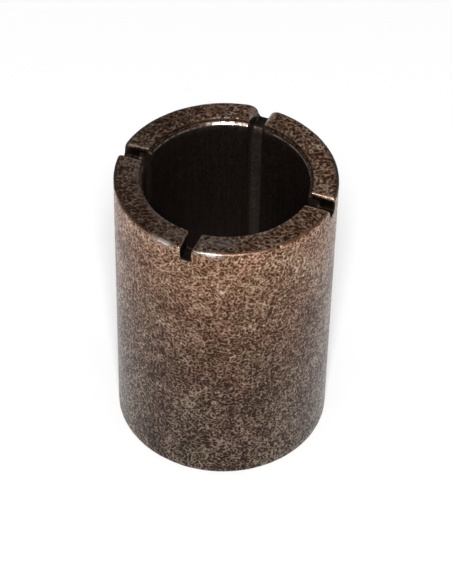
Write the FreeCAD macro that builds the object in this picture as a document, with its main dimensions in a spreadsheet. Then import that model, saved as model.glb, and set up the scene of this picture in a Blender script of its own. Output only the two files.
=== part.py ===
import FreeCAD, Part
import math
import os

import Sketcher

# A plain sleeve bushing for an engine's crankcase, pressed from iron powder and sintered in one piece.
# It stands on its plain end. The upper end has radial oil slots, and each runs into a groove in the bore.
# The origin is on the axis, in the plane of the plain end. +Z points to the slotted end. Millimetres.

dimensions = {
    "bore_diameter": 11.9,
    "wall_thickness": 2.05,
    "bushing_length": 23.0,
    "bore_edge_radius": 0.5,
    "outer_bevel_width": 0.4,
    "outer_bevel_height": 0.1,
    "slot_count": 4,
    "slot_depth": 1.0,
    "slot_floor_width": 0.9,
    "slot_draft": 4.0,
    "slot_lip_radius": 0.2,
    "groove_width": 1.1,
    "groove_depth": 0.75,
}
node_name = "bushing"
start_point, end_point, centre_point = range(1, 4)
origin_point, vertical_axis = range(-1, -3, -1)


def make_sheet(document):
    """Writes each driving dimension into a cell of its own, under its own name."""
    sheet = document.addObject("Spreadsheet::Sheet", "Sizes")
    for row, (name, value) in enumerate(dimensions.items(), start=1):
        sheet.set("A%d" % row, name)
        sheet.set("B%d" % row, str(value))
        sheet.setAlias("B%d" % row, name)
    document.recompute()
    return sheet


def add_sketch(body, name, plane_role):
    """Starts a sketch on one of the body's origin planes."""
    sketch = body.newObject("Sketcher::SketchObject", name)
    plane = next(item for item in body.Origin.OriginFeatures if item.Role == plane_role)
    sketch.AttachmentSupport = [(plane, "")]
    sketch.MapMode = "FlatFace"
    return sketch


def turn_between_slots(sketch):
    """Turns a sketch about the axis by half the slots' spacing, so that the sleeve's seam crosses no slot."""
    turn = FreeCAD.Rotation(FreeCAD.Vector(0, 1, 0), 180 / dimensions["slot_count"])
    sketch.AttachmentOffset = FreeCAD.Placement(FreeCAD.Vector(), turn)
    sketch.setExpression("AttachmentOffset.Rotation.Angle", "180 / Sizes.slot_count")


def add_line(sketch, start, end):
    """Adds a straight edge and returns its number."""
    return sketch.addGeometry(Part.LineSegment(FreeCAD.Vector(*start, 0), FreeCAD.Vector(*end, 0)), False)


def add_arc(sketch, centre, radius, from_angle, to_angle):
    """Adds an arc that runs counter-clockwise between two angles in degrees, and returns its number."""
    circle = Part.Circle(FreeCAD.Vector(*centre, 0), FreeCAD.Vector(0, 0, 1), radius)
    arc = Part.ArcOfCircle(circle, math.radians(from_angle), math.radians(to_angle))
    return sketch.addGeometry(arc, False)


def constrain(sketch, *terms):
    """Adds a geometric constraint."""
    return sketch.addConstraint(Sketcher.Constraint(*terms))


def dimension(sketch, name, expression, *terms):
    """Adds a dimension that takes its value from the sheet."""
    index = sketch.addConstraint(Sketcher.Constraint(*terms))
    sketch.renameConstraint(index, name)
    sketch.setExpression("Constraints." + name, expression)


def draw_wall_section(sketch):
    """Draws half of the sleeve's section: bore, rounded bore edges, end faces and bevelled outer edges."""
    size = dimensions
    bore = size["bore_diameter"] / 2
    outside = bore + size["wall_thickness"]
    top = size["bushing_length"]
    edge = size["bore_edge_radius"]
    bevel_width = size["outer_bevel_width"]
    bevel_height = size["outer_bevel_height"]

    bore_wall = add_line(sketch, (bore, top - edge), (bore, edge))
    bottom_round = add_arc(sketch, (bore + edge, edge), edge, 180, 270)
    bottom_face = add_line(sketch, (bore + edge, 0), (outside - bevel_width, 0))
    bottom_bevel = add_line(sketch, (outside - bevel_width, 0), (outside, bevel_height))
    outer_wall = add_line(sketch, (outside, bevel_height), (outside, top - bevel_height))
    top_bevel = add_line(sketch, (outside, top - bevel_height), (outside - bevel_width, top))
    top_face = add_line(sketch, (outside - bevel_width, top), (bore + edge, top))
    top_round = add_arc(sketch, (bore + edge, top - edge), edge, 90, 180)

    constrain(sketch, "Tangent", bore_wall, end_point, bottom_round, start_point)
    constrain(sketch, "Tangent", bottom_round, end_point, bottom_face, start_point)
    constrain(sketch, "Coincident", bottom_face, end_point, bottom_bevel, start_point)
    constrain(sketch, "Coincident", bottom_bevel, end_point, outer_wall, start_point)
    constrain(sketch, "Coincident", outer_wall, end_point, top_bevel, start_point)
    constrain(sketch, "Coincident", top_bevel, end_point, top_face, start_point)
    constrain(sketch, "Tangent", top_face, end_point, top_round, start_point)
    constrain(sketch, "Tangent", top_round, end_point, bore_wall, start_point)
    constrain(sketch, "Vertical", bore_wall)
    constrain(sketch, "Vertical", outer_wall)
    constrain(sketch, "Horizontal", bottom_face)
    constrain(sketch, "Horizontal", top_face)
    constrain(sketch, "PointOnObject", bottom_face, start_point, origin_point)
    constrain(sketch, "Equal", bottom_round, top_round)

    dimension(sketch, "bore_radius", "Sizes.bore_diameter / 2",
              "DistanceX", origin_point, start_point, bore_wall, start_point, bore)
    dimension(sketch, "wall", "Sizes.wall_thickness",
              "DistanceX", bore_wall, end_point, outer_wall, start_point, size["wall_thickness"])
    dimension(sketch, "length", "Sizes.bushing_length",
              "DistanceY", origin_point, start_point, top_face, start_point, top)
    dimension(sketch, "bore_edge", "Sizes.bore_edge_radius", "Radius", top_round, edge)
    dimension(sketch, "top_bevel_width", "Sizes.outer_bevel_width",
              "DistanceX", top_bevel, end_point, top_bevel, start_point, bevel_width)
    dimension(sketch, "top_bevel_height", "Sizes.outer_bevel_height",
              "DistanceY", top_bevel, start_point, top_bevel, end_point, bevel_height)
    dimension(sketch, "bottom_bevel_width", "Sizes.outer_bevel_width",
              "DistanceX", bottom_bevel, start_point, bottom_bevel, end_point, bevel_width)
    dimension(sketch, "bottom_bevel_height", "Sizes.outer_bevel_height",
              "DistanceY", bottom_bevel, start_point, bottom_bevel, end_point, bevel_height)


def draw_slot_section(sketch):
    """Draws an end slot's section: flat floor, drafted walls, and lips that round into the end face."""
    size = dimensions
    top = size["bushing_length"]
    depth = size["slot_depth"]
    lip = size["slot_lip_radius"]
    draft = size["slot_draft"]
    slope = math.radians(draft)
    half_floor = size["slot_floor_width"] / 2
    rise = depth - lip * (1 - math.sin(slope))
    wall_x = half_floor + rise * math.tan(slope)
    lip_x = wall_x + lip * math.cos(slope)
    floor_z = top - depth
    above = top + depth

    floor = add_line(sketch, (-half_floor, floor_z), (half_floor, floor_z))
    right_wall = add_line(sketch, (half_floor, floor_z), (wall_x, floor_z + rise))
    right_lip = add_arc(sketch, (lip_x, top - lip), lip, 90, 180 - draft)
    right_side = add_line(sketch, (lip_x, top), (lip_x, above))
    ceiling = add_line(sketch, (lip_x, above), (-lip_x, above))
    left_side = add_line(sketch, (-lip_x, above), (-lip_x, top))
    left_lip = add_arc(sketch, (-lip_x, top - lip), lip, draft, 90)
    left_wall = add_line(sketch, (-wall_x, floor_z + rise), (-half_floor, floor_z))

    constrain(sketch, "Coincident", floor, end_point, right_wall, start_point)
    constrain(sketch, "Tangent", right_wall, end_point, right_lip, end_point)
    constrain(sketch, "Perpendicular", right_lip, start_point, right_side, start_point)
    constrain(sketch, "Coincident", right_side, end_point, ceiling, start_point)
    constrain(sketch, "Coincident", ceiling, end_point, left_side, start_point)
    constrain(sketch, "Perpendicular", left_side, end_point, left_lip, end_point)
    constrain(sketch, "Tangent", left_lip, start_point, left_wall, start_point)
    constrain(sketch, "Coincident", left_wall, end_point, floor, start_point)
    constrain(sketch, "Vertical", right_side)
    constrain(sketch, "Vertical", left_side)
    constrain(sketch, "Horizontal", ceiling)
    constrain(sketch, "Equal", left_lip, right_lip)
    constrain(sketch, "Symmetric", floor, start_point, floor, end_point, vertical_axis)
    constrain(sketch, "Symmetric", left_lip, centre_point, right_lip, centre_point, vertical_axis)

    dimension(sketch, "length", "Sizes.bushing_length",
              "DistanceY", origin_point, start_point, right_lip, start_point, top)
    dimension(sketch, "depth", "Sizes.slot_depth",
              "DistanceY", floor, end_point, right_lip, start_point, depth)
    dimension(sketch, "overshoot", "Sizes.slot_depth",
              "DistanceY", right_side, start_point, right_side, end_point, depth)
    dimension(sketch, "floor_width", "Sizes.slot_floor_width",
              "DistanceX", floor, start_point, floor, end_point, size["slot_floor_width"])
    dimension(sketch, "lip", "Sizes.slot_lip_radius", "Radius", right_lip, lip)
    dimension(sketch, "wall_angle", "90 - Sizes.slot_draft", "Angle", right_wall, math.radians(90 - draft))


def draw_groove_section(sketch):
    """Draws an oil groove's section as a rectangle from the axis out to the groove's floor."""
    size = dimensions
    reach = size["bore_diameter"] / 2 + size["groove_depth"]
    half_width = size["groove_width"] / 2

    near_side = add_line(sketch, (0, -half_width), (reach, -half_width))
    floor = add_line(sketch, (reach, -half_width), (reach, half_width))
    far_side = add_line(sketch, (reach, half_width), (0, half_width))
    inner_end = add_line(sketch, (0, half_width), (0, -half_width))

    corners = [near_side, floor, far_side, inner_end]
    for edge, following in zip(corners, corners[1:] + corners[:1]):
        constrain(sketch, "Coincident", edge, end_point, following, start_point)
    constrain(sketch, "Horizontal", near_side)
    constrain(sketch, "Horizontal", far_side)
    constrain(sketch, "Vertical", floor)
    constrain(sketch, "Vertical", inner_end)
    constrain(sketch, "Symmetric", inner_end, start_point, inner_end, end_point, origin_point, start_point)

    dimension(sketch, "reach", "Sizes.bore_diameter / 2 + Sizes.groove_depth",
              "DistanceX", near_side, start_point, near_side, end_point, reach)
    dimension(sketch, "width", "Sizes.groove_width",
              "DistanceY", floor, start_point, floor, end_point, size["groove_width"])


def cut(body, name, sketch):
    """Cuts a section through the solid, from its plane the way that the plane faces, and checks the cut."""
    before = body.Shape.Volume
    pocket = body.newObject("PartDesign::Pocket", name)
    pocket.Profile = sketch
    pocket.Type = "ThroughAll"
    pocket.Reversed = True
    body.Document.recompute()
    if not pocket.Shape.Volume < before:
        raise RuntimeError(name + " took no material")
    return pocket


def make_bushing(document):
    """Builds the sleeve: a revolved wall, one slot and one groove on +X, and their copies round the axis."""
    body = document.addObject("PartDesign::Body", "Bushing")
    body.Label = node_name

    wall_section = add_sketch(body, "WallSection", "XZ_Plane")
    turn_between_slots(wall_section)
    draw_wall_section(wall_section)
    sleeve = body.newObject("PartDesign::Revolution", "Sleeve")
    sleeve.Profile = wall_section
    sleeve.ReferenceAxis = (wall_section, ["V_Axis"])
    sleeve.Angle = 360
    document.recompute()

    slot_section = add_sketch(body, "SlotSection", "YZ_Plane")
    draw_slot_section(slot_section)
    slot = cut(body, "EndSlot", slot_section)

    groove_section = add_sketch(body, "GrooveSection", "XY_Plane")
    draw_groove_section(groove_section)
    groove = cut(body, "OilGroove", groove_section)

    ring = body.newObject("PartDesign::PolarPattern", "SlotsAndGrooves")
    ring.Originals = [slot, groove]
    ring.Axis = (groove_section, ["N_Axis"])
    ring.Angle = 360
    ring.setExpression("Occurrences", "Sizes.slot_count")
    body.Tip = ring
    document.recompute()
    return body


def check_document(document, bodies):
    """Stops if any object failed or any body is not one valid solid."""
    for item in document.Objects:
        if "Invalid" in item.State or "Error" in item.State:
            raise RuntimeError("%s failed: %s" % (item.Name, item.State))
    for sketch in document.findObjects("Sketcher::SketchObject"):
        if not sketch.FullyConstrained:
            raise RuntimeError(sketch.Name + " is not fully constrained")
    for body in bodies:
        shape = body.Shape
        if shape.isNull() or not shape.isValid() or len(shape.Solids) != 1:
            raise RuntimeError(body.Label + " is not one valid solid")


def main():
    document = FreeCAD.newDocument("CrankcaseBushing")
    make_sheet(document)
    bushing = make_bushing(document)
    check_document(document, [bushing])
    os.makedirs("parts", exist_ok=True)
    bushing.Shape.exportStep("parts/" + bushing.Label + ".step")
    box = bushing.Shape.BoundBox
    print("%s: %.2f x %.2f x %.2f mm, volume %.1f cubic mm"
          % (bushing.Label, box.XLength, box.YLength, box.ZLength, bushing.Shape.Volume))


main()
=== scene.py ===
import math

import bmesh
import bpy
from mathutils import Matrix, Vector


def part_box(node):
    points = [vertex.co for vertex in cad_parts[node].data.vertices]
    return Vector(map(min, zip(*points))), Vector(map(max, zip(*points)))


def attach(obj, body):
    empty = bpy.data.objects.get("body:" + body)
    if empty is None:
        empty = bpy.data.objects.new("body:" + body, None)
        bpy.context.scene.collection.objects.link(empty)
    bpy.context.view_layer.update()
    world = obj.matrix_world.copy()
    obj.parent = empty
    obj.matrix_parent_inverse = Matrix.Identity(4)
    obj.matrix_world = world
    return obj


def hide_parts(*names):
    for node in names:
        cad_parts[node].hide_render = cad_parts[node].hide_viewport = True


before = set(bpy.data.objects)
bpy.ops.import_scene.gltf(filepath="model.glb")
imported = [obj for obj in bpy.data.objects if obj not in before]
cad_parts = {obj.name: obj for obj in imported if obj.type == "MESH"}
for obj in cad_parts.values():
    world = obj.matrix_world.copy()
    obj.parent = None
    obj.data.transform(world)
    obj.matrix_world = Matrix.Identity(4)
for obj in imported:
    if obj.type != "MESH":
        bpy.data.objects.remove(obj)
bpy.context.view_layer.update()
mm = 0.001

print("helpers")


def addNode(tree, kind, values=(), **settings):
    # values fill the shown sockets in order, or by name; a node stands for its first output
    node = tree.nodes.new(kind)
    for name, value in settings.items():
        setattr(node, name, value)
    shown = [socket for socket in node.inputs if socket.enabled]
    named = {socket.name: socket for socket in reversed(shown)}
    pairs = values.items() if isinstance(values, dict) else enumerate(values)
    for key, value in pairs:
        socket = named[key] if isinstance(key, str) else shown[key]
        if isinstance(value, bpy.types.Node):
            value = next(output for output in value.outputs if output.enabled)
        if isinstance(value, bpy.types.NodeSocket):
            tree.links.new(value, socket)
        elif value is not None:
            socket.default_value = value
    return node


def linearColour(hexCode):
    channels = [int(hexCode[start:start + 2], 16) / 255 for start in (1, 3, 5)]
    straight = [c / 12.92 if c <= 0.04045 else ((c + 0.055) / 1.055) ** 2.4 for c in channels]
    return (*straight, 1)


def smooth(value, start, end):
    share = min(max((value - start) / (end - start), 0), 1)
    return share * share * (3 - 2 * share)


def directionTo(azimuth, elevation):
    turn = math.radians(azimuth)
    rise = math.radians(elevation)
    return Vector((math.cos(turn) * math.cos(rise), math.sin(turn) * math.cos(rise), math.sin(rise)))


def placedObject(name, data):
    placed = bpy.data.objects.new(name, data)
    bpy.context.scene.collection.objects.link(placed)
    return placed


print("sections of the sleeve")

low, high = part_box("bushing")
# lengths in mm, angles in degrees from +X
sleeve = {
    "outside": (high[0] - low[0]) / 2 / mm,  # radius
    "length": high[2] / mm,
    "bore": 5.95,  # radius
    "rimWidth": 0.28,  # the rounding at the bore's slotted end
    "rimHeight": 0.49,
    "bevel": 0.2,  # at the foot of that rounding, left by the bore's tool
    "footEdge": 0.5,  # radius of the rounding at the bore's plain end
    "rollWidth": 0.36,  # the outer edge rolls off over this width ...
    "rollHeight": 0.2,  # ... and this height
    "footWidth": 0.4,  # the same at the plain end
    "footHeight": 0.1,
    "slots": 4,
    "slotDepth": 1.0,
    "slotWidth": 0.88,  # of a slot's floor at the outside; it opens to the groove's width at the bore
    "slotCorner": 0.12,  # rounding where a slot's floor turns down into its groove
    "grooveWidth": 1.1,
    "grooveDepth": 0.75,
    "draftRun": 0.06,  # how far a slot's wall leans over its height
    "mouthRadius": 0.06,  # edge of a groove in the bore
    # each slot has two lips, clockwise side first, from +X round: radius at the bore and at the outside
    "lipRadii": [(0.45, 0.5), (0.15, 0.45), (0.3, 0.74), (0.12, 0.7),
                 (0.12, 0.3), (0.42, 0.4), (0.2, 0.2), (0.26, 0.16)],
    "lipTrims": [0, 0, 0.04, 0, -0.02, 0, 0.13, 0.04],  # how far each side stands into its slot
    "lipFade": 1.2,  # from the rim down, a slot's lip turns into the groove's edge over this height
    "slotFillet": 0.22,  # between a slot's floor and walls
    "grooveFillet": 0.08,
    "lipLimit": 0.7,  # the largest share of the depth that a lip takes up ...
    "filletLimit": 0.25,  # ... and that a fillet does
    "unevenness": 0.025,  # how far the pressed surface wavers inwards
    "waverScale": 1.6,  # per mm
    "waverDetail": 3.0,
    "waverRoughness": 0.6,
    "waverRange": (0.3, 0.7),  # the part of the noise that counts
    "calmShare": 0.35,  # the waver that is left away from the slotted end
    "calmDepth": 1.0,  # below the end face, where the waver starts to grow ...
    "wavyDepth": 0.2,  # ... and where it is in full
    "seed": 7,
    # knocks, as azimuth, radius and height
    "dents": [(279.7, 6.4, 23.0), (278.4, 6.56, 23.0), (235.5, 8.0, 3.44),
              (171.0, 6.05, 23.0), (212.0, 7.95, 22.9), (318.0, 7.95, 22.9)],
    "dentRadius": 0.24,
    "dentDepth": 0.1,
    # arcs that wear has rubbed smooth and that carry painted highlights and sheen, as two azimuths, radius,
    # height, width and strength
    "rubs": [(247, 266, 7.9, 22.88, 0.3, 2.0), (273, 292, 7.9, 22.86, 0.36, 1.8),
             (266, 274, 7.97, 21.96, 0.16, 2.0), (92, 126, 6.0, 22.58, 0.2, 1.6),
             (88, 130, 6.1, 22.68, 0.24, 0.9), (8, 84, 5.96, 22.53, 0.11, 0.9),
             (126, 174, 5.96, 22.53, 0.11, 0.9), (273, 300, 6.8, 23.0, 0.9, 0.65),
             (252, 267, 6.8, 23.0, 0.95, 0.5), (222, 256, 6.2, 23.0, 0.5, 0.5),
             (186, 224, 6.2, 22.95, 0.5, 0.35), (300, 340, 6.2, 23.0, 0.5, 0.35),
             (3, 7, 7.75, 22.86, 0.3, 1.2)],
    "arcPoints": 4,  # of such an arc, per degree
    "arcFade": 6,  # degrees over which an arc fades out at either end
    "weld": 1e-7,  # in metres
}
rowCounts = {"bore": 30, "bevel": 4, "rim": 10, "face": 18, "roll": 9,
             "wall": 54, "foot": 6, "base": 8, "baseRim": 8}
columnCounts = {"floor": 7, "wall": 5, "lip": 8, "land": 57}


def straightRun(start, end, count):
    return [tuple(a + (b - a) * step / count for a, b in zip(start, end)) for step in range(count)]


def roundRun(centre, width, height, fromAngle, toAngle, count):
    points = []
    for step in range(count):
        angle = math.radians(fromAngle + (toAngle - fromAngle) * step / count)
        points.append((centre[0] + width * math.cos(angle), centre[1] + height * math.sin(angle)))
    return points


def sectionPoints(inner, top, rimWidth, rimHeight, bevel, footEdge, rollWidth, rollHeight):
    # a closed section, counted from the foot of the bore: up, over the end face, down the outside and back
    outer = sleeve["outside"]
    footWidth = sleeve["footWidth"]
    footHeight = sleeve["footHeight"]
    rimFoot = top - rimHeight
    points = straightRun((inner, footEdge), (inner, rimFoot), rowCounts["bore"])
    points += straightRun((inner, rimFoot), (inner + bevel, rimFoot + bevel), rowCounts["bevel"])
    points += roundRun((inner + rimWidth, rimFoot + bevel), rimWidth - bevel, rimHeight - bevel, 180, 90,
                       rowCounts["rim"])
    points += straightRun((inner + rimWidth, top), (outer - rollWidth, top), rowCounts["face"])
    points += roundRun((outer - rollWidth, top - rollHeight), rollWidth, rollHeight, 90, 0, rowCounts["roll"])
    points += straightRun((outer, top - rollHeight), (outer, footHeight), rowCounts["wall"])
    points += roundRun((outer - footWidth, footHeight), footWidth, footHeight, 0, -90, rowCounts["foot"])
    points += straightRun((outer - footWidth, 0), (inner + footEdge, 0), rowCounts["base"])
    points += roundRun((inner + footEdge, footEdge), footEdge, footEdge, 270, 180, rowCounts["baseRim"])
    return points + points[:1]


def guideObject(name, points):
    mesh = bpy.data.meshes.new(name)
    mesh.from_pydata(points, [], [])
    return placedObject(name, mesh)


def pointOn(azimuth, radius, height):
    turn = math.radians(azimuth)
    return radius * mm * math.cos(turn), radius * mm * math.sin(turn), height * mm


def sectionGuides():
    # x is the radius and z the height; y carries the row's share of the slot's lip
    reach = sleeve["bore"] + sleeve["grooveDepth"]
    corner = sleeve["slotCorner"]
    land = sectionPoints(sleeve["bore"], sleeve["length"], sleeve["rimWidth"], sleeve["rimHeight"],
                         sleeve["bevel"], sleeve["footEdge"], sleeve["rollWidth"], sleeve["rollHeight"])
    slot = sectionPoints(reach, sleeve["length"] - sleeve["slotDepth"], corner, corner, corner / 8, corner,
                         corner / 2, corner / 2)
    lipEnd = sleeve["length"] - sleeve["rimHeight"]
    lipStart = lipEnd - sleeve["lipFade"]
    shares = [smooth(z, lipStart, lipEnd) if r < reach else smooth(z, 0, lipStart) for r, z in land]
    return [guideObject(name, [(r * mm, share, z * mm) for (r, z), share in zip(points, shares)])
            for name, points in (("landSection", land), ("slotSection", slot))]


def wearAndHighlightGuides():
    dents = guideObject("dents", [pointOn(*dent) for dent in sleeve["dents"]])
    spots = []
    reaches = []
    perDegree = sleeve["arcPoints"]
    fadeSteps = sleeve["arcFade"] * perDegree
    for start, end, radius, height, width, strength in sleeve["rubs"]:
        steps = (end - start) * perDegree
        for step in range(steps + 1):
            spots.append(pointOn(start + step / perDegree, radius, height))
            fade = min(step, steps - step, fadeSteps) / fadeSteps
            reaches += [width * mm, strength * fade, 0.0]
    rubs = guideObject("rubs", spots)
    rubs.data.attributes.new("reach", "FLOAT_VECTOR", "POINT").data.foreach_set("vector", reaches)
    return dents, rubs


print("sleeve")


def sleeveTree(material):
    # every column of a grid is one section through the wall: a mix of the section through the land and the
    # one through a slot. Across each slot the columns crowd into its floor, walls and rounded lips.
    tree = bpy.data.node_groups.new("slottedSleeve", "GeometryNodeTree")
    interface = tree.interface
    interface.new_socket("Geometry", in_out="OUTPUT", socket_type="NodeSocketGeometry")
    inputs = {
        "Land Section": ("NodeSocketObject", None),
        "Slot Section": ("NodeSocketObject", None),
        "Dents": ("NodeSocketObject", None),
        "Rubs And Highlights": ("NodeSocketObject", None),
        "Rows": ("NodeSocketInt", 2),
        "Slots": ("NodeSocketInt", sleeve["slots"]),
        "Floor Columns": ("NodeSocketInt", columnCounts["floor"]),
        "Wall Columns": ("NodeSocketInt", columnCounts["wall"]),
        "Lip Columns": ("NodeSocketInt", columnCounts["lip"]),
        "Land Columns": ("NodeSocketInt", columnCounts["land"]),
        "Slot Half Width": ("NodeSocketFloat", sleeve["slotWidth"] / 2 * mm),
        "Groove Half Width": ("NodeSocketFloat", (sleeve["grooveWidth"] / 2 - sleeve["draftRun"]) * mm),
        "Groove Reach": ("NodeSocketFloat", (sleeve["bore"] + sleeve["grooveDepth"]) * mm),
        "Outside Radius": ("NodeSocketFloat", sleeve["outside"] * mm),
        "Draft Run": ("NodeSocketFloat", sleeve["draftRun"] * mm),
        "Mouth Radius": ("NodeSocketFloat", sleeve["mouthRadius"] * mm),
        "Slot Fillet": ("NodeSocketFloat", sleeve["slotFillet"] * mm),
        "Groove Fillet": ("NodeSocketFloat", sleeve["grooveFillet"] * mm),
        "Unevenness": ("NodeSocketFloat", sleeve["unevenness"] * mm),
        "Waver Scale": ("NodeSocketFloat", sleeve["waverScale"] / mm),
        "Calm Height": ("NodeSocketFloat", (sleeve["length"] - sleeve["calmDepth"]) * mm),
        "Wavy Height": ("NodeSocketFloat", (sleeve["length"] - sleeve["wavyDepth"]) * mm),
        "Seed": ("NodeSocketFloat", sleeve["seed"]),
        "Dent Radius": ("NodeSocketFloat", sleeve["dentRadius"] * mm),
        "Dent Depth": ("NodeSocketFloat", sleeve["dentDepth"] * mm),
    }
    sockets = {}
    for name, (kind, value) in inputs.items():
        socket = interface.new_socket(name, in_out="INPUT", socket_type=kind)
        if value is not None:
            socket.default_value = value
        sockets[name] = socket.identifier
    given = addNode(tree, "NodeGroupInput").outputs

    # counts of columns, added up from a slot's middle to the middle of the land
    wallStart = given["Floor Columns"]
    lipStart = addNode(tree, "ShaderNodeMath", [wallStart, given["Wall Columns"]])
    landStart = addNode(tree, "ShaderNodeMath", [lipStart, given["Lip Columns"]])
    halfPitch = addNode(tree, "ShaderNodeMath", [landStart, given["Land Columns"]])
    pitch = addNode(tree, "FunctionNodeIntegerMath", [halfPitch, 2], operation="MULTIPLY")
    around = addNode(tree, "FunctionNodeIntegerMath", [pitch, given["Slots"]], operation="MULTIPLY")
    across = addNode(tree, "FunctionNodeIntegerMath", [around, 1])
    grid = addNode(tree, "GeometryNodeMeshGrid", {"Vertices X": across, "Vertices Y": given["Rows"]})

    index = addNode(tree, "GeometryNodeInputIndex")
    column = addNode(tree, "FunctionNodeIntegerMath", [index, given["Rows"]], operation="DIVIDE_FLOOR")
    row = addNode(tree, "FunctionNodeIntegerMath", [index, given["Rows"]], operation="MODULO")
    slotNumber = addNode(tree, "FunctionNodeIntegerMath", [column, pitch], operation="DIVIDE_FLOOR")
    within = addNode(tree, "FunctionNodeIntegerMath", [column, pitch], operation="MODULO")
    fromMiddle = addNode(tree, "ShaderNodeMath", [within, halfPitch], operation="SUBTRACT")
    step = addNode(tree, "ShaderNodeMath", [fromMiddle], operation="ABSOLUTE")
    side = addNode(tree, "ShaderNodeMath", [fromMiddle], operation="SIGN")
    floorShare = addNode(tree, "ShaderNodeMapRange", [step, 0.0, wallStart])
    wallShare = addNode(tree, "ShaderNodeMapRange", [step, wallStart, lipStart])
    lipShare = addNode(tree, "ShaderNodeMapRange", [step, lipStart, landStart])
    landShare = addNode(tree, "ShaderNodeMapRange", [step, landStart, halfPitch])

    # this row's point on both sections
    position = addNode(tree, "GeometryNodeInputPosition")
    ends = []
    for name in ("Land Section", "Slot Section"):
        guide = addNode(tree, "GeometryNodeObjectInfo", [given[name]])
        ends.append(addNode(tree, "GeometryNodeSampleIndex", [guide.outputs["Geometry"], position, row],
                            data_type="FLOAT_VECTOR"))
    land, slot = ends
    slotParts = addNode(tree, "ShaderNodeSeparateXYZ", [slot])
    inSlot = slotParts.outputs["Y"]

    # each side of each slot has its own lip and trim; down the bore the lip turns into the groove's edge
    outwards = addNode(tree, "ShaderNodeMapRange",
                       [slotParts.outputs["X"], given["Groove Reach"], given["Outside Radius"]])
    onFarSide = addNode(tree, "ShaderNodeMath", [side, 0.0], operation="GREATER_THAN")
    doubled = addNode(tree, "FunctionNodeIntegerMath", [slotNumber, 2], operation="MULTIPLY")
    lipNumber = addNode(tree, "ShaderNodeMath", [doubled, onFarSide])
    choices = []
    for values in (*zip(*sleeve["lipRadii"]), sleeve["lipTrims"]):
        choice = addNode(tree, "GeometryNodeIndexSwitch", [lipNumber], data_type="FLOAT")
        while len(choice.index_switch_items) < len(values):
            choice.index_switch_items.new()
        for number, value in enumerate(values):
            choice.inputs[number + 1].default_value = value * mm
        choices.append(choice)
    boreLip, outsideLip, lipTrim = choices
    slotLip = addNode(tree, "ShaderNodeMix", [outwards, boreLip, outsideLip], data_type="FLOAT")
    trimHere = addNode(tree, "ShaderNodeMath", [lipTrim, inSlot], operation="MULTIPLY")
    lipRadius = addNode(tree, "ShaderNodeMix", [inSlot, given["Mouth Radius"], slotLip], data_type="FLOAT")
    fillet = addNode(tree, "ShaderNodeMix", [inSlot, given["Groove Fillet"], given["Slot Fillet"]],
                     data_type="FLOAT")

    # how much of the way from the slot's section to the land's this column has come
    evenFloor = addNode(tree, "ShaderNodeMix",
                        [outwards, given["Groove Half Width"], given["Slot Half Width"]], data_type="FLOAT")
    halfFloor = addNode(tree, "ShaderNodeMath", [evenFloor, trimHere], operation="SUBTRACT")
    depth = addNode(tree, "ShaderNodeVectorMath", [land, slot], operation="DISTANCE").outputs["Value"]
    filletOfFloor = addNode(tree, "ShaderNodeMath", [fillet, halfFloor], operation="DIVIDE")
    filletStart = addNode(tree, "ShaderNodeMath", [1.0, filletOfFloor], operation="SUBTRACT")
    filletShare = addNode(tree, "ShaderNodeMapRange", [floorShare, filletStart, 1.0])
    filletSquare = addNode(tree, "ShaderNodeMath", [filletShare, 2.0], operation="POWER")
    filletCosine = addNode(tree, "ShaderNodeMath", [1.0, filletSquare], operation="SUBTRACT")
    filletDrop = addNode(tree, "ShaderNodeMath", [filletCosine], operation="SQRT")
    filletLift = addNode(tree, "ShaderNodeMath", [1.0, filletDrop], operation="SUBTRACT")
    filletOfDepth = addNode(tree, "ShaderNodeMath", [fillet, depth], operation="DIVIDE")
    filletPart = addNode(tree, "ShaderNodeMath", [filletOfDepth, sleeve["filletLimit"]], operation="MINIMUM")
    filletRise = addNode(tree, "ShaderNodeMath", [filletLift, filletPart], operation="MULTIPLY")
    lipOfDepth = addNode(tree, "ShaderNodeMath", [lipRadius, depth], operation="DIVIDE")
    lipPart = addNode(tree, "ShaderNodeMath", [lipOfDepth, sleeve["lipLimit"]], operation="MINIMUM")
    roundedPart = addNode(tree, "ShaderNodeMath", [lipPart, filletPart])
    wallPart = addNode(tree, "ShaderNodeMath", [1.0, roundedPart], operation="SUBTRACT")
    lipAngle = addNode(tree, "ShaderNodeMath", [lipShare, math.pi / 2], operation="MULTIPLY")
    lipRise = addNode(tree, "ShaderNodeMath", [lipAngle], operation="SINE")
    wallRise = addNode(tree, "ShaderNodeMath", [wallShare, wallPart, filletRise], operation="MULTIPLY_ADD")
    rise = addNode(tree, "ShaderNodeMath", [lipRise, lipPart, wallRise], operation="MULTIPLY_ADD")
    section = addNode(tree, "ShaderNodeMix", [rise, slot, land], data_type="VECTOR")
    sectionParts = addNode(tree, "ShaderNodeSeparateXYZ", [section])

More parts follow.
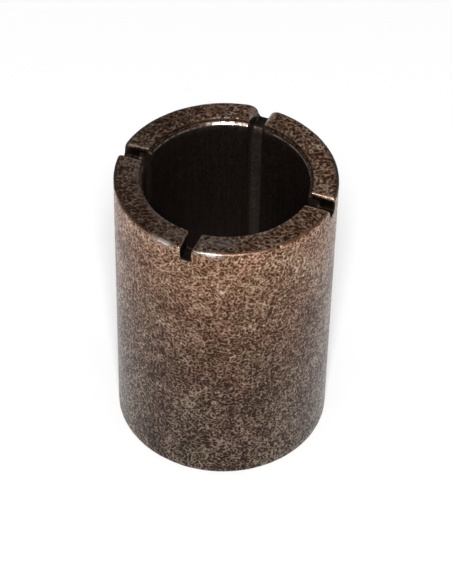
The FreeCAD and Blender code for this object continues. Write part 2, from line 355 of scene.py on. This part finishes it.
    # how far this column stands to the side of the slot's middle, then its angle round the axis
    floorOffset = addNode(tree, "ShaderNodeMath", [floorShare, halfFloor], operation="MULTIPLY")
    wallOffset = addNode(tree, "ShaderNodeMath", [wallShare, given["Draft Run"], floorOffset],
                         operation="MULTIPLY_ADD")
    lipCosine = addNode(tree, "ShaderNodeMath", [lipAngle], operation="COSINE")
    lipLean = addNode(tree, "ShaderNodeMath", [1.0, lipCosine], operation="SUBTRACT")
    offset = addNode(tree, "ShaderNodeMath", [lipLean, lipRadius, wallOffset], operation="MULTIPLY_ADD")
    sine = addNode(tree, "ShaderNodeMath", [offset, sectionParts.outputs["X"]], operation="DIVIDE")
    edgeAngle = addNode(tree, "ShaderNodeMath", [sine], operation="ARCSINE")
    halfTurn = addNode(tree, "ShaderNodeMath", [math.pi, given["Slots"]], operation="DIVIDE")
    awayAngle = addNode(tree, "ShaderNodeMix", [landShare, edgeAngle, halfTurn], data_type="FLOAT")
    slotAngle = addNode(tree, "ShaderNodeMath", [slotNumber, halfTurn], operation="MULTIPLY")
    middleAngle = addNode(tree, "ShaderNodeMath", [slotAngle, 2.0], operation="MULTIPLY")
    angle = addNode(tree, "ShaderNodeMath", [side, awayAngle, middleAngle], operation="MULTIPLY_ADD")
    flat = addNode(tree, "ShaderNodeCombineXYZ", [sectionParts.outputs["X"], 0.0, sectionParts.outputs["Z"]])
    turned = addNode(tree, "ShaderNodeVectorRotate", {"Vector": flat, "Angle": angle}, rotation_type="Z_AXIS")

    # marks for the material: how deep in a slot or groove, and how near the crest of a lip
    hollow = addNode(tree, "ShaderNodeMath", [1.0, rise], operation="SUBTRACT")
    acrossLip = addNode(tree, "ShaderNodeMath", [lipAngle, 2.0], operation="MULTIPLY")
    onLip = addNode(tree, "ShaderNodeMath", [acrossLip], operation="SINE")
    atTop = addNode(tree, "ShaderNodeMapRange",
                    [sectionParts.outputs["Z"], given["Calm Height"], given["Wavy Height"]])
    lipMark = addNode(tree, "ShaderNodeMath", [onLip, atTop], operation="MULTIPLY")
    marked = addNode(tree, "GeometryNodeStoreNamedAttribute", [grid, None, "hollow", hollow])
    lipped = addNode(tree, "GeometryNodeStoreNamedAttribute", [marked, None, "lip", lipMark])
    shaped = addNode(tree, "GeometryNodeSetPosition", {"Geometry": lipped, "Position": turned})
    closed = addNode(tree, "GeometryNodeMergeByDistance", {"Geometry": shaped, "Distance": sleeve["weld"]})

    # the surface wavers a little, most at the slotted end, and has its knocks
    waver = addNode(tree, "ShaderNodeTexNoise",
                    {"W": given["Seed"], "Scale": given["Waver Scale"], "Detail": sleeve["waverDetail"],
                     "Roughness": sleeve["waverRoughness"]}, noise_dimensions="4D")
    shapedParts = addNode(tree, "ShaderNodeSeparateXYZ", [turned])
    atEnd = addNode(tree, "ShaderNodeMapRange",
                    [shapedParts.outputs["Z"], given["Calm Height"], given["Wavy Height"],
                     sleeve["calmShare"], 1.0])
    amount = addNode(tree, "ShaderNodeMath", [atEnd, given["Unevenness"]], operation="MULTIPLY")
    inwards = addNode(tree, "ShaderNodeMapRange", [waver, *sleeve["waverRange"], 0.0, amount])
    knocks = addNode(tree, "GeometryNodeObjectInfo", [given["Dents"]])
    nearest = addNode(tree, "GeometryNodeProximity", [knocks.outputs["Geometry"]], target_element="POINTS")
    dent = addNode(tree, "ShaderNodeMapRange",
                   [nearest.outputs["Distance"], 0.0, given["Dent Radius"], 1.0, 0.0],
                   interpolation_type="SMOOTHSTEP")
    sink = addNode(tree, "ShaderNodeMath", [dent, given["Dent Depth"], inwards], operation="MULTIPLY_ADD")
    normal = addNode(tree, "GeometryNodeInputNormal")
    push = addNode(tree, "ShaderNodeVectorMath", {"Vector": normal, "Scale": sink}, operation="SCALE")
    dented = addNode(tree, "GeometryNodeStoreNamedAttribute", [closed, None, "dent", dent])

    # the rubbed arcs, with their painted highlights and sheen, mark what lies within their width
    arcs = addNode(tree, "GeometryNodeObjectInfo", [given["Rubs And Highlights"]]).outputs["Geometry"]
    arcPlace = addNode(tree, "GeometryNodeProximity", [arcs], target_element="POINTS").outputs["Distance"]
    arcIndex = addNode(tree, "GeometryNodeSampleNearest", [arcs])
    reach = addNode(tree, "GeometryNodeInputNamedAttribute", ["reach"], data_type="FLOAT_VECTOR")
    arcReach = addNode(tree, "GeometryNodeSampleIndex", [arcs, reach, arcIndex], data_type="FLOAT_VECTOR")
    reachParts = addNode(tree, "ShaderNodeSeparateXYZ", [arcReach])
    rubAndHighlight = addNode(tree, "ShaderNodeMapRange",
                  [arcPlace, 0.0, reachParts.outputs["X"], reachParts.outputs["Y"], 0.0],
                  interpolation_type="SMOOTHSTEP")
    rubbedSheen = addNode(tree, "GeometryNodeStoreNamedAttribute", [dented, None, "rubAndHighlight", rubAndHighlight])
    uneven = addNode(tree, "GeometryNodeSetPosition", {"Geometry": rubbedSheen, "Offset": push})
    rounded = addNode(tree, "GeometryNodeSetShadeSmooth", {"Geometry": uneven})
    whole = addNode(tree, "GeometryNodeRealizeInstances", [rounded])
    finished = addNode(tree, "GeometryNodeSetMaterial", {"Geometry": whole, "Material": material})
    addNode(tree, "NodeGroupOutput", [finished])
    return tree, sockets


def makeSleeve(material):
    landGuide, slotGuide = sectionGuides()
    dentGuide, rubAndHighlightGuide = wearAndHighlightGuides()
    tree, sockets = sleeveTree(material)
    maker = placedObject("sleeveMaker", bpy.data.meshes.new("sleeveMaker"))
    modifier = maker.modifiers.new("slottedSleeve", "NODES")
    modifier.node_group = tree
    modifier[sockets["Land Section"]] = landGuide
    modifier[sockets["Slot Section"]] = slotGuide
    modifier[sockets["Dents"]] = dentGuide
    modifier[sockets["Rubs And Highlights"]] = rubAndHighlightGuide
    modifier[sockets["Rows"]] = len(landGuide.data.vertices)
    depsgraph = bpy.context.evaluated_depsgraph_get()
    mesh = bpy.data.meshes.new_from_object(maker.evaluated_get(depsgraph))
    for helper in (maker, landGuide, slotGuide, dentGuide, rubAndHighlightGuide):
        bpy.data.objects.remove(helper)
    shape = bmesh.new()
    shape.from_mesh(mesh)
    bmesh.ops.remove_doubles(shape, verts=shape.verts, dist=sleeve["weld"])
    bmesh.ops.recalc_face_normals(shape, faces=shape.faces)
    shape.to_mesh(mesh)
    shape.free()
    print("sleeve:", len(mesh.vertices), "vertices,", len(mesh.loop_triangles), "triangles")
    return placedObject("sleeve", mesh)


print("materials")

# lengths in mm and scales per mm
iron = {
    # iron powder is sieved to grains of up to 0.15 mm. Threads and flecks are one such grain wide, so 0.3 mm
    # from thread to thread; the smaller grains between them are left out, too fine to show in the render.
    "threadScale": 3.4,
    "threadTurns": 2.4,  # how often a thread returns over the noise's range
    "threadBend": 0.3,
    "fleckScale": 5.9,
    "fleckDetail": 0.0,
    "patchScale": 1.1,
    "patchDetail": 2.0,
    "cloudScale": 0.25,
    "cloudDetail": 3.0,
    "detailShare": 0.55,  # of each finer step of those noises
    "axialStretch": 0.9,  # grains are a little longer the way the part was pressed
    "noiseRange": (0.35, 0.65),  # where most of a noise lies
    "meanTone": 0.46,
    "threadShare": 0.25,
    "fleckShare": 0.75,
    "patchShare": 0.48,
    "cloudShare": 0.45,
    "tones": {0.0: "#29160a", 0.25: "#492b19", 0.5: "#70533e", 0.75: "#927c6c", 1.0: "#c4b2a3"},
    "tintScale": 0.4,
    "tintDetail": 2.0,
    "reddish": "#fff0ec",
    "olive": "#fbfbf2",
    "footContrast": 1.6,  # the mottle is faint where handling has rubbed the wall
    "topContrast": 0.92,
    "contrastHeight": 0.85,  # share of the length
    "faceContrast": 1.2,
    "faceScale": 0.8,  # the end face's mottle is a little coarser
    "faceDepths": (0.12, 0.03),  # below the top, from the wall's look to the end face's
    "footPaintedShade": 0.4,  # painted shade at the foot and painted light towards the slotted end
    "topPaintedLight": 1.6,
    "shadePower": 2.3,
    "faceShades": (0.52, 1.2),  # the end face is darker on one side
    "faceReach": 0.8,  # share of the outside radius, either way, for that change
    "lightSide": (0.94, 0.34, 0.0),
    # painted shade, near black, deep in the slots
    "slotPaintedShade": 0.06,
    "slotHollows": (0.06, 0.3),  # how deep in a slot the painted shade begins and is in full
    "slotFloor": (0.15, 0.02),  # below a slot's floor the groove's look takes over
    "dentShade": 0.08,
    "dentHollows": (0.1, 0.6),
    "edgePaintedShades": (0.9, 0.12),  # painted shade on the edges: slight near the front, deep on the far side
    "edgeReach": (-6.0, 0.0),
    "farSide": (-0.34, 0.94, 0.0),
    "boreEdge": (0.15, 0.3),  # outwards from the bore, where the edges' painted shade ends
    "rimBlend": 0.04,
    "outsideEdge": (0.3, 0.15),  # inwards from the outside, where the edges' painted shade begins
    "rollEdge": (0.3, 0.2),  # and below the top
    # rubbed metal is smoother; its colour carries painted sheen
    "rubbedSheen": "#978a82",
    "wornHighlight": "#dccfc3",  # painted highlight, where the rubbing is strongest
    "highlightFrom": (0.9, 1.5),
    "rubHighlightScale": 2.6,  # the rubbed places and their painted highlights break up into patches
    "rubHighlightDetail": 3.0,
    "rubHighlightRange": (0.44, 0.55, 0.2, 1.0),
    # the crests of the slots' lips are rubbed too, with painted highlights
    "lipRubAndHighlight": 0.5,
    "bore": "#3c302b",
    "groove": "#655850",
    "grooveDepths": (3.0, 1.0),  # the groove gets darker towards the slot
    "grooveTop": 0.5,
    "boreReach": (0.8, 1.0),  # outwards from the bore, past the groove's floor
    "streakScale": 4.0,  # fine lines down the bore that the sizing tool left
    "streakDetail": 3.0,
    "streakStretch": 0.06,
    "streaks": (0.85, 1.15),
    "metallic": 0.9,
    "dullTones": (0.2, 0.8),  # pores are duller than grains
    "roughness": (0.56, 0.4),
    "rubbedRoughness": 0.24,
    "bumpHeight": 0.015,
    "bumpStrength": 0.15,
    "coat": 0.34,  # a thin film of oil that fills the pores and leaves the grains bare, so ...
    "coatIor": 1.22,  # ... it hardly shows from the front and shines at the sides
    "coatRoughness": 0.2,
}


def sinteredIron():
    # sintered iron, pressed from powder and soaked in oil: pale threads of bare metal between brown-black
    # pores and a soft gloss where hands and shafts have rubbed it. Painted on it: shade at the foot, light
    # towards the slotted end, near-black shade in the slots, shade on the edges, and highlights and sheen on
    # the rubbed places
    material = bpy.data.materials.new("sinteredIronOiled")
    material.use_nodes = True
    tree = material.node_tree
    shader = tree.nodes["Principled BSDF"]
    coordinates = addNode(tree, "ShaderNodeTexCoord").outputs["Object"]
    place = addNode(tree, "ShaderNodeVectorMath", {"Vector": coordinates, "Scale": 1 / mm}, operation="SCALE")
    parts = addNode(tree, "ShaderNodeSeparateXYZ", [place])
    flatPlace = addNode(tree, "ShaderNodeCombineXYZ", [parts.outputs["X"], parts.outputs["Y"], 0.0])
    radius = addNode(tree, "ShaderNodeVectorMath", [flatPlace], operation="LENGTH").outputs["Value"]
    height = parts.outputs["Z"]
    hollow, dent, rubAndHighlight, lip = [addNode(tree, "ShaderNodeAttribute", attribute_name=name).outputs["Fac"]
                              for name in ("hollow", "dent", "rubAndHighlight", "lip")]
    top = sleeve["length"]
    rimFoot = top - sleeve["rimHeight"]
    slotFloor = top - sleeve["slotDepth"]

    # the mottle: threads that follow one noise's contours, with finer flecks and wider patches and clouds
    heightShare = addNode(tree, "ShaderNodeMath", [height, top], operation="DIVIDE")
    onFace = addNode(tree, "ShaderNodeMapRange", [height, *(top - depth for depth in iron["faceDepths"])])
    onWall = addNode(tree, "ShaderNodeMapRange",
                     [heightShare, 0.0, iron["contrastHeight"], iron["footContrast"], iron["topContrast"]])
    contrast = addNode(tree, "ShaderNodeMix", [onFace, onWall, iron["faceContrast"]], data_type="FLOAT")
    coarser = addNode(tree, "ShaderNodeMix", [onFace, 1.0, iron["faceScale"]], data_type="FLOAT")
    stretched = addNode(tree, "ShaderNodeVectorMath", [place, (1.0, 1.0, iron["axialStretch"])],
                        operation="MULTIPLY")
    pressed = addNode(tree, "ShaderNodeVectorMath", {"Vector": stretched, "Scale": coarser},
                      operation="SCALE")
    grain = addNode(tree, "ShaderNodeTexNoise",
                    {"Vector": pressed, "Scale": iron["threadScale"], "Detail": 0.0,
                     "Distortion": iron["threadBend"]})
    contour = addNode(tree, "ShaderNodeMath", [grain, iron["threadTurns"] * 2 * math.pi],
                      operation="MULTIPLY")
    threads = addNode(tree, "ShaderNodeMath", [contour], operation="SINE")
    swing = addNode(tree, "ShaderNodeMath", [threads, iron["threadShare"]], operation="MULTIPLY")
    for name in ("fleck", "patch", "cloud"):
        noise = addNode(tree, "ShaderNodeTexNoise",
                        {"Vector": pressed, "Scale": iron[name + "Scale"], "Detail": iron[name + "Detail"],
                         "Roughness": iron["detailShare"]})
        centred = addNode(tree, "ShaderNodeMath", [noise, 0.5], operation="SUBTRACT")
        swing = addNode(tree, "ShaderNodeMath", [centred, iron[name + "Share"], swing],
                        operation="MULTIPLY_ADD")
    tone = addNode(tree, "ShaderNodeMath", [swing, contrast, iron["meanTone"]], operation="MULTIPLY_ADD")
    ramp = addNode(tree, "ShaderNodeValToRGB", [tone])
    stops = ramp.color_ramp.elements
    while len(stops) < len(iron["tones"]):
        stops.new(1.0)
    for stop, (level, hexCode) in zip(stops, iron["tones"].items()):
        stop.position = level
        stop.color = linearColour(hexCode)
    tintNoise = addNode(tree, "ShaderNodeTexNoise",
                        {"Vector": place, "Scale": iron["tintScale"], "Detail": iron["tintDetail"]})
    tintShare = addNode(tree, "ShaderNodeMapRange", [tintNoise, *iron["noiseRange"]])
    tint = addNode(tree, "ShaderNodeMix",
                   [tintShare, linearColour(iron["reddish"]), linearColour(iron["olive"])],
                   data_type="RGBA").outputs[2]
    mottle = addNode(tree, "ShaderNodeMix", [1.0, ramp, tint],
                     data_type="RGBA", blend_type="MULTIPLY").outputs[2]

    # painted shade at the foot and painted light towards the slotted end, darker again on the end face, and
    # painted shade in the slots
    curve = addNode(tree, "ShaderNodeMath", [heightShare, iron["shadePower"]], operation="POWER")
    wallPaintedShading = addNode(tree, "ShaderNodeMath",
                        [curve, iron["topPaintedLight"] - iron["footPaintedShade"], iron["footPaintedShade"]],
                        operation="MULTIPLY_ADD")
    sideways = addNode(tree, "ShaderNodeVectorMath", [place, iron["lightSide"]],
                       operation="DOT_PRODUCT").outputs["Value"]
    faceReach = iron["faceReach"] * sleeve["outside"]
    faceShade = addNode(tree, "ShaderNodeMapRange", [sideways, -faceReach, faceReach, *iron["faceShades"]])
    plainShade = addNode(tree, "ShaderNodeMix", [onFace, wallPaintedShading, faceShade], data_type="FLOAT")
    inSlot = addNode(tree, "ShaderNodeMapRange",
                     [height, *(slotFloor - depth for depth in iron["slotFloor"])])
    sunk = addNode(tree, "ShaderNodeMath", [hollow, inSlot], operation="MULTIPLY")
    # painted near-black shade deep in the slots
    slotPaintedShade = addNode(tree, "ShaderNodeMapRange", [sunk, *iron["slotHollows"], 1.0, iron["slotPaintedShade"]])
    dentShade = addNode(tree, "ShaderNodeMapRange", [dent, *iron["dentHollows"], 1.0, iron["dentShade"]])
    hollowShade = addNode(tree, "ShaderNodeMath", [slotPaintedShade, dentShade], operation="MULTIPLY")
    shade = addNode(tree, "ShaderNodeMath", [plainShade, hollowShade], operation="MULTIPLY")
    outside = addNode(tree, "ShaderNodeVectorMath", {"Vector": mottle, "Scale": shade}, operation="SCALE")

    # painted shade darkens the edges, most on the far side; in patches they are rubbed smooth, with painted
    # highlights and sheen
    nearBore = addNode(tree, "ShaderNodeMapRange",
                       [radius, *(sleeve["bore"] + width for width in iron["boreEdge"]), 1.0, 0.0])
    nearOutside = addNode(tree, "ShaderNodeMapRange",
                          [radius, *(sleeve["outside"] - width for width in iron["outsideEdge"])])
    aboveBore = addNode(tree, "ShaderNodeMapRange", [height, rimFoot - iron["rimBlend"], rimFoot])
    aboveRoll = addNode(tree, "ShaderNodeMapRange", [height, *(top - depth for depth in iron["rollEdge"])])
    nearEdge = addNode(tree, "ShaderNodeMath", [nearBore, nearOutside], operation="MAXIMUM")
    aboveEdge = addNode(tree, "ShaderNodeMix", [nearOutside, aboveBore, aboveRoll], data_type="FLOAT")
    edgeShare = addNode(tree, "ShaderNodeMath", [nearEdge, aboveEdge], operation="MULTIPLY")
    farSide = addNode(tree, "ShaderNodeVectorMath", [place, iron["farSide"]],
                      operation="DOT_PRODUCT").outputs["Value"]
    farShade = addNode(tree, "ShaderNodeMapRange", [farSide, *iron["edgeReach"], *iron["edgePaintedShades"]])
    edgePaintedShade = addNode(tree, "ShaderNodeMix", [edgeShare, 1.0, farShade], data_type="FLOAT")
    darkened = addNode(tree, "ShaderNodeVectorMath", {"Vector": outside, "Scale": edgePaintedShade},
                       operation="SCALE")
    rubHighlightNoise = addNode(tree, "ShaderNodeTexNoise",
                       {"Vector": place, "Scale": iron["rubHighlightScale"], "Detail": iron["rubHighlightDetail"]})
    rubHighlightPatch = addNode(tree, "ShaderNodeMapRange", [rubHighlightNoise, *iron["rubHighlightRange"]])
    lipRubAndHighlight = addNode(tree, "ShaderNodeMath", [lip, iron["lipRubAndHighlight"]], operation="MULTIPLY")
    anyRubAndHighlight = addNode(tree, "ShaderNodeMath", [rubAndHighlight, lipRubAndHighlight], operation="MAXIMUM")
    rubAndHighlightShare = addNode(tree, "ShaderNodeMath", [anyRubAndHighlight, rubHighlightPatch], operation="MULTIPLY", use_clamp=True)
    rubAndHighlightPart = addNode(tree, "ShaderNodeMath", [rubAndHighlightShare, hollowShade], operation="MULTIPLY")
    # painted highlight, near white, where an arc is strongest
    highlightShare = addNode(tree, "ShaderNodeMapRange", [rubAndHighlight, *iron["highlightFrom"]])
    rubAndHighlightColour = addNode(tree, "ShaderNodeMix",
                        [highlightShare, linearColour(iron["rubbedSheen"]), linearColour(iron["wornHighlight"])],
                        data_type="RGBA").outputs[2]
    edged = addNode(tree, "ShaderNodeMix", [rubAndHighlightPart, darkened, rubAndHighlightColour], data_type="RGBA").outputs[2]

    # the bore is dark, and its grooves a little lighter
    fromTop = addNode(tree, "ShaderNodeMapRange",
                      [height, *(top - depth for depth in iron["grooveDepths"]), 1.0, iron["grooveTop"]])
    grooveShare = addNode(tree, "ShaderNodeMath", [hollow, fromTop], operation="MULTIPLY")
    boreMetal = addNode(tree, "ShaderNodeMix",
                        [grooveShare, linearColour(iron["bore"]), linearColour(iron["groove"])],
                        data_type="RGBA").outputs[2]
    drawn = addNode(tree, "ShaderNodeVectorMath", [place, (1.0, 1.0, iron["streakStretch"])],
                    operation="MULTIPLY")
    streakNoise = addNode(tree, "ShaderNodeTexNoise",
                          {"Vector": drawn, "Scale": iron["streakScale"], "Detail": iron["streakDetail"]})
    streaks = addNode(tree, "ShaderNodeMapRange", [streakNoise, *iron["noiseRange"], *iron["streaks"]])
    boreWall = addNode(tree, "ShaderNodeVectorMath", {"Vector": boreMetal, "Scale": streaks},
                       operation="SCALE")
    inBore = addNode(tree, "ShaderNodeMapRange",
                     [radius, *(sleeve["bore"] + width for width in iron["boreReach"]), 1.0, 0.0])
    belowRim = addNode(tree, "ShaderNodeMapRange", [height, rimFoot - iron["rimBlend"], rimFoot, 1.0, 0.0])
    boreShare = addNode(tree, "ShaderNodeMath", [inBore, belowRim], operation="MULTIPLY")
    colour = addNode(tree, "ShaderNodeMix", [boreShare, edged, boreWall], data_type="RGBA").outputs[2]
    tree.links.new(colour, shader.inputs["Base Color"])

    dullness = addNode(tree, "ShaderNodeMapRange", [tone, *iron["dullTones"], *iron["roughness"]])
    roughness = addNode(tree, "ShaderNodeMix", [rubAndHighlightShare, dullness, iron["rubbedRoughness"]],
                        data_type="FLOAT")
    tree.links.new(roughness.outputs[0], shader.inputs["Roughness"])
    bump = addNode(tree, "ShaderNodeBump", {"Height": tone, "Distance": iron["bumpHeight"] * mm,
                                            "Strength": iron["bumpStrength"]})
    tree.links.new(bump.outputs[0], shader.inputs["Normal"])
    shader.inputs["Metallic"].default_value = iron["metallic"]
    shader.inputs["Coat Weight"].default_value = iron["coat"]
    shader.inputs["Coat IOR"].default_value = iron["coatIor"]
    shader.inputs["Coat Roughness"].default_value = iron["coatRoughness"]
    return material


bushing = makeSleeve(sinteredIron())
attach(bushing, "root")
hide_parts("bushing")

print("floor, lights and camera")

# metres and degrees
stage = {
    "floorSize": 4.0,
    "floor": "#f2f2f2",
    "floorRoughness": 0.9,
    "floorLift": 0.14,  # what the camera and reflections see on top of the floor's own light
    "light": "#ffffff",
    "horizon": 0.9,  # the studio is pale low down and dimmer overhead
    "zenith": 0.24,
    "zenithFrom": 0.6,  # height of a direction, 1 straight up
    "lampPower": 6.0,
    "lampSize": 0.16,
    "lampAzimuth": -70.0,
    "lampElevation": 50.0,
    "lampDistance": 0.8,
}


def makeFloor():
    # matt painted board: even and pale, with no gloss of its own
    half = stage["floorSize"] / 2
    corners = [(-half, -half, 0), (half, -half, 0), (half, half, 0), (-half, half, 0)]
    mesh = bpy.data.meshes.new("floor")
    mesh.from_pydata(corners, [], [(0, 1, 2, 3)])
    material = bpy.data.materials.new("paintedFloor")
    material.use_nodes = True
    tree = material.node_tree
    shader = tree.nodes["Principled BSDF"]
    shader.inputs["Base Color"].default_value = linearColour(stage["floor"])
    shader.inputs["Roughness"].default_value = stage["floorRoughness"]
    shader.inputs["Emission Color"].default_value = linearColour(stage["light"])
    path = addNode(tree, "ShaderNodeLightPath")
    seen = addNode(tree, "ShaderNodeMath", [path.outputs["Is Camera Ray"], path.outputs["Is Glossy Ray"]],
                   operation="MAXIMUM")
    lift = addNode(tree, "ShaderNodeMath", [seen, stage["floorLift"]], operation="MULTIPLY")
    tree.links.new(lift.outputs[0], shader.inputs["Emission Strength"])
    mesh.materials.append(material)
    placedObject("floor", mesh)


def makeLights():
    world = bpy.data.worlds.new("studio")
    world.use_nodes = True
    tree = world.node_tree
    backdrop = tree.nodes["Background"]
    backdrop.inputs["Color"].default_value = linearColour(stage["light"])
    direction = addNode(tree, "ShaderNodeTexCoord").outputs["Generated"]
    upwards = addNode(tree, "ShaderNodeSeparateXYZ", [direction]).outputs["Z"]
    sky = addNode(tree, "ShaderNodeMapRange",
                  [upwards, 0.0, stage["zenithFrom"], stage["horizon"], stage["zenith"]])
    tree.links.new(sky.outputs[0], backdrop.inputs["Strength"])
    bpy.context.scene.world = world
    light = bpy.data.lights.new("lamp", "AREA")
    light.energy = stage["lampPower"]
    light.size = stage["lampSize"]
    lamp = placedObject("lamp", light)
    towards = directionTo(stage["lampAzimuth"], stage["lampElevation"])
    lamp.location = towards * stage["lampDistance"]
    lamp.rotation_euler = (-towards).to_track_quat("-Z", "Y").to_euler()


view = {
    "azimuth": -70.0,  # degrees from +X; the slots lie on the axes
    "elevation": 45.387,
    "roll": -1.219,
    "distance": 21.443,  # these three in outside radii
    "slideRight": 0.0178,
    "slideUp": 0.0200,
    "focal": 2309.4,  # in pixels of the picture's height
    "pictureHeight": 575,
    "sensor": 36,  # mm
    "clipStart": 0.01,  # metres
}


def makeCamera():
    turn = math.radians(view["azimuth"])
    roll = math.radians(view["roll"])
    radius = sleeve["outside"] * mm
    back = directionTo(view["azimuth"], view["elevation"])
    right = Vector((-math.sin(turn), math.cos(turn), 0))
    up = back.cross(right)
    middle = Vector((0, 0, sleeve["length"] / 2 * mm))
    place = middle + radius * (view["slideRight"] * right + view["slideUp"] * up + view["distance"] * back)
    rolledRight = right * math.cos(roll) - up * math.sin(roll)
    rolledUp = right * math.sin(roll) + up * math.cos(roll)
    lens = bpy.data.cameras.new("camera")
    lens.sensor_width = view["sensor"]
    lens.lens = lens.sensor_width * view["focal"] / view["pictureHeight"]
    lens.clip_start = view["clipStart"]
    camera = placedObject("camera", lens)
    axes = Matrix((rolledRight, rolledUp, back)).transposed()
    camera.matrix_world = Matrix.Translation(place) @ axes.to_4x4()
    bpy.context.scene.camera = camera


makeFloor()
makeLights()
makeCamera()
bpy.context.scene.view_settings.view_transform = "Standard"
